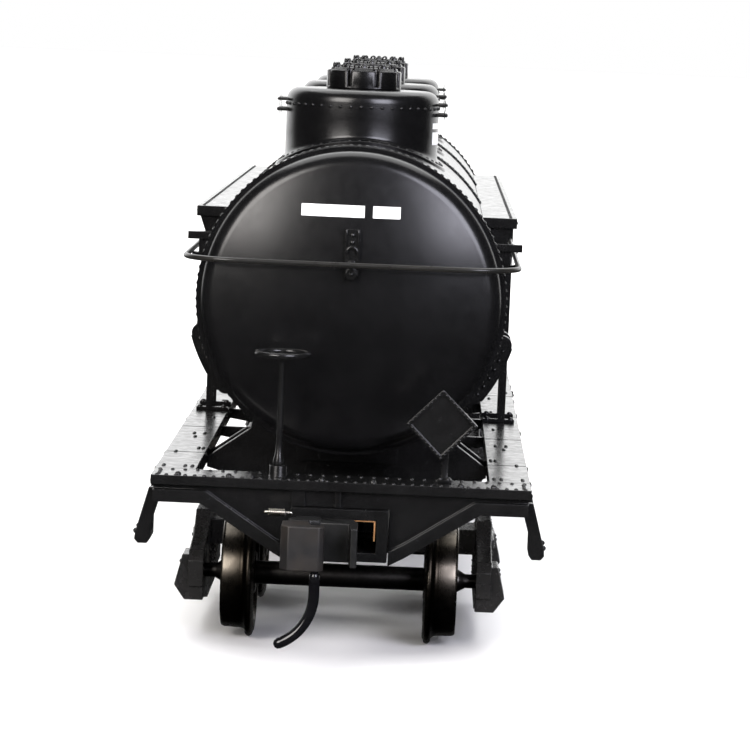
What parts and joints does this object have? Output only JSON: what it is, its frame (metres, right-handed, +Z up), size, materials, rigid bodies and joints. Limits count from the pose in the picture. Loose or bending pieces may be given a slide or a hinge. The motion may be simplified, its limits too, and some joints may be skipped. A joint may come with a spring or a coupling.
{
  "type": "model tank wagon",
  "caption": "H0 scale tank wagon with riveted tank, domed hatches, handrails, walkways, swivelling trucks, rolling wheelsets, sprung couplers and a handbrake.",
  "frame": {"origin": "centre of the base, at the bottom of the wheel flanges under the middle of the wagon", "axes": "+X along the wagon to its handbrake end, +Y to the right seen from in front of that end, +Z up"},
  "size_m": [0.1358, 0.034, 0.0492],
  "materials": {
    "tank_paint": "satin black",
    "underframe_plastic": "semi-gloss black",
    "detail_plastic": "semi-gloss black",
    "black_wire": "satin black over wire",
    "truck_plastic": "dull black",
    "coupler_metal": "blackened casting",
    "trip_pin_wire": "glossy black",
    "spring_bronze": "phosphor bronze",
    "screw_steel": "plated",
    "wheel_steel": "turned, browned treads",
    "axle_steel": "blackened"
  },
  "bodies": {
    "root": {"tank_barrel": "tank_paint", "tank_head_b": "tank_paint", "tank_head_a": "tank_paint", "dome_b": "tank_paint", "dome_centre": "tank_paint", "dome_a": "tank_paint", "hatch_b": "tank_paint", "hatch_centre": "tank_paint", "hatch_a": "tank_paint", "hatch_bolts": "tank_paint", "safety_valves": "tank_paint", "dome_grab_irons": "black_wire", "platform_left": "detail_plastic", "platform_right": "detail_plastic", "ladder_left": "detail_plastic", "ladder_right": "detail_plastic", "handrail_left": "black_wire", "handrail_right": "black_wire", "handrail_end_b": "black_wire", "handrail_end_a": "black_wire", "handrail_posts": "detail_plastic", "centre_sill": "underframe_plastic", "end_sill_b": "underframe_plastic", "end_sill_a": "underframe_plastic", "running_board_left": "underframe_plastic", "running_board_right": "underframe_plastic", "bolster_b": "underframe_plastic", "bolster_a": "underframe_plastic", "ballast_weight": "screw_steel", "sill_steps": "detail_plastic", "placard_boards": "underframe_plastic", "draft_box_b": "underframe_plastic", "draft_box_a": "underframe_plastic", "mounting_screws": "screw_steel", "centring_springs": "spring_bronze", "brake_cylinder": "underframe_plastic", "air_reservoir": "underframe_plastic", "control_valve": "underframe_plastic"},
    "handbrake": {"brake_staff": "detail_plastic", "brake_wheel": "detail_plastic"},
    "coupler_b": {"coupler_b": "coupler_metal"},
    "coupler_a": {"coupler_a": "coupler_metal"},
    "knuckle_b": {"knuckle_b": "coupler_metal", "trip_pin_b": "trip_pin_wire"},
    "knuckle_a": {"knuckle_a": "coupler_metal", "trip_pin_a": "trip_pin_wire"},
    "truck_b": {"truck_b_side_left": "truck_plastic", "truck_b_side_right": "truck_plastic", "truck_b_bolster": "truck_plastic"},
    "truck_a": {"truck_a_side_left": "truck_plastic", "truck_a_side_right": "truck_plastic", "truck_a_bolster": "truck_plastic"},
    "wheelset_1": {"axle_1": "axle_steel", "wheels_1": "wheel_steel"},
    "wheelset_2": {"axle_2": "axle_steel", "wheels_2": "wheel_steel"},
    "wheelset_3": {"axle_3": "axle_steel", "wheels_3": "wheel_steel"},
    "wheelset_4": {"axle_4": "axle_steel", "wheels_4": "wheel_steel"}
  },
  "joints": [
    {"name": "truck_b_swivel", "type": "hinge", "parent": "root", "child": "truck_b", "pos_m": [0.04, 0, 0.009], "axis": [0, 0, 1], "range_deg": [-8, 8]},
    {"name": "truck_a_swivel", "type": "hinge", "parent": "root", "child": "truck_a", "pos_m": [-0.04, 0, 0.009], "axis": [0, 0, 1], "range_deg": [-8, 8]},
    {"name": "wheelset_1_roll", "type": "hinge", "parent": "truck_b", "child": "wheelset_1", "pos_m": [0.0496, 0, 0.0055], "axis": [0, 1, 0], "continuous": true},
    {"name": "wheelset_2_roll", "type": "hinge", "parent": "truck_b", "child": "wheelset_2", "pos_m": [0.0304, 0, 0.0055], "axis": [0, 1, 0], "continuous": true},
    {"name": "wheelset_3_roll", "type": "hinge", "parent": "truck_a", "child": "wheelset_3", "pos_m": [-0.0304, 0, 0.0055], "axis": [0, 1, 0], "continuous": true},
    {"name": "wheelset_4_roll", "type": "hinge", "parent": "truck_a", "child": "wheelset_4", "pos_m": [-0.0496, 0, 0.0055], "axis": [0, 1, 0], "continuous": true},
    {"name": "coupler_b_swing", "type": "hinge", "parent": "root", "child": "coupler_b", "pos_m": [0.0516, 0, 0.0106], "axis": [0, 0, 1], "range_deg": [-10, 10], "stiffness_Nm_per_rad": 0.0005},
    {"name": "knuckle_b_open", "type": "hinge", "parent": "coupler_b", "child": "knuckle_b", "pos_m": [0.0632, -0.0031, 0.0106], "axis": [0, 0, -1], "range_deg": [0, 20], "stiffness_Nm_per_rad": 0.00005},
    {"name": "coupler_a_swing", "type": "hinge", "parent": "root", "child": "coupler_a", "pos_m": [-0.0516, 0, 0.0106], "axis": [0, 0, 1], "range_deg": [-10, 10], "stiffness_Nm_per_rad": 0.0005},
    {"name": "knuckle_a_open", "type": "hinge", "parent": "coupler_a", "child": "knuckle_a", "pos_m": [-0.0632, 0.0031, 0.0106], "axis": [0, 0, -1], "range_deg": [0, 20], "stiffness_Nm_per_rad": 0.00005},
    {"name": "handbrake_turn", "type": "hinge", "parent": "root", "child": "handbrake", "pos_m": [0.0576, -0.0053, 0.015], "axis": [0, 0, 1], "continuous": true}
  ]
}
